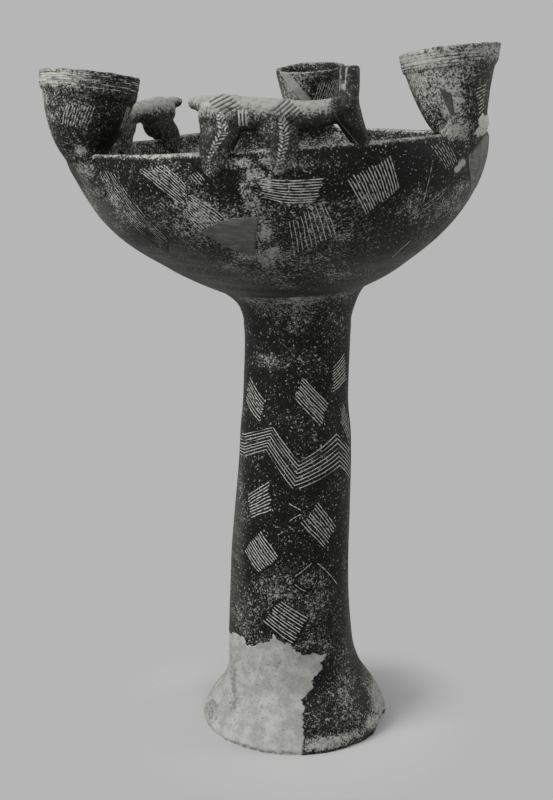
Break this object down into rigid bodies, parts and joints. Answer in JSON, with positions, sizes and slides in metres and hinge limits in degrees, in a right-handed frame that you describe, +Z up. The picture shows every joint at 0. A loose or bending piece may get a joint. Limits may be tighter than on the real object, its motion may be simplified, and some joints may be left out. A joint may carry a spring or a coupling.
{
  "type": "pedestal bowl",
  "caption": "Wide round bowl on a tall hollow stem with a spreading foot; cups and long-bodied horned animals stand on its rim.",
  "frame": {"origin": "on the ground, under the middle of the whole outline seen from above", "axes": "+Z up the stem, -Y towards the side that the picture shows, +X to that side's right"},
  "size_m": [0.4248, 0.4498, 0.716],
  "materials": {
    "dark_clay": "burnished and mottled, with pale encrustation in the incised lines",
    "figure_clay": "worn burnish, paler on top",
    "pale_plaster": "matt restoration plaster, scraped flush",
    "dark_plaster": "smooth toned restoration plaster"
  },
  "bodies": {
    "root": {"stem_upper": "dark_clay", "stem_foot": "dark_clay", "foot_plaster_fill": "pale_plaster", "bowl": "dark_clay", "bowl_front_fill": "dark_plaster", "bowl_side_fill": "dark_plaster", "cup_left": "dark_clay", "cup_right": "dark_clay", "cup_right_fill": "dark_plaster", "cup_back": "dark_clay", "cup_back_fill": "pale_plaster", "front_bull_body": "figure_clay", "front_bull_head": "figure_clay", "front_bull_horn_outer": "figure_clay", "front_bull_horn_inner": "figure_clay", "front_bull_tail": "figure_clay", "front_bull_hindleg_outer": "figure_clay", "front_bull_hindleg_inner": "figure_clay", "front_bull_foreleg_outer": "figure_clay", "front_bull_foreleg_inner": "figure_clay", "back_bull_body": "figure_clay", "back_bull_head": "figure_clay", "back_bull_horn_outer": "figure_clay", "back_bull_horn_inner": "figure_clay", "back_bull_tail": "figure_clay", "back_bull_hindleg_outer": "figure_clay", "back_bull_hindleg_inner": "figure_clay", "back_bull_foreleg_outer": "figure_clay", "back_bull_foreleg_inner": "figure_clay"}
  },
  "joints": []
}
